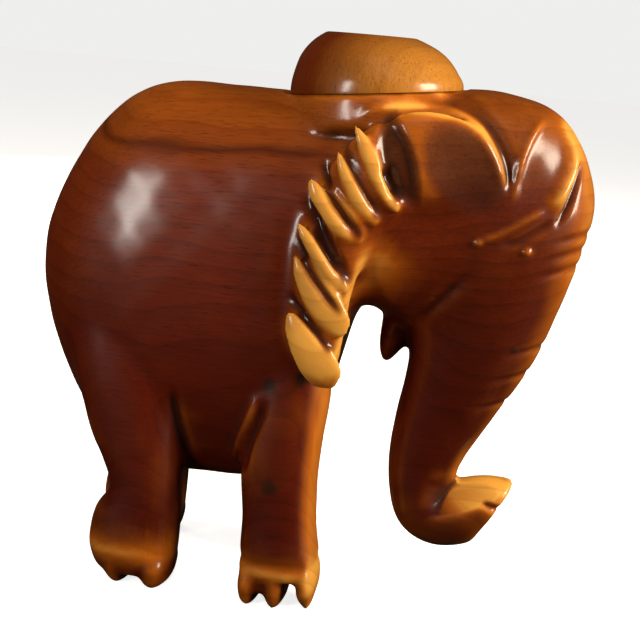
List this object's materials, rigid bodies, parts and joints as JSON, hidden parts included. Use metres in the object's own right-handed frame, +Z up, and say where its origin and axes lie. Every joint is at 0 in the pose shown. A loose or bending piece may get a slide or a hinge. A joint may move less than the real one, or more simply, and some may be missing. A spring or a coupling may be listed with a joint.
{
  "type": "carved wooden elephant",
  "caption": "Standing elephant carved from one block of wood, head lowered and trunk curled forward, with a domed turned candle holder on its neck.",
  "frame": {"origin": "middle of the overall length and width, on the ground under the feet", "axes": "+X towards the head, +Y towards the elephant's left side, +Z up"},
  "size_m": [0.1501, 0.0704, 0.1542],
  "materials": {
    "carved_wood": "dark red-brown hardwood under clear gloss lacquer",
    "turned_wood": "golden brown hardwood under clear gloss lacquer",
    "dowel_wood": "bare pale wood"
  },
  "bodies": {
    "root": {"carved_body": "carved_wood", "candle_holder": "turned_wood", "dowel": "dowel_wood"}
  },
  "joints": []
}
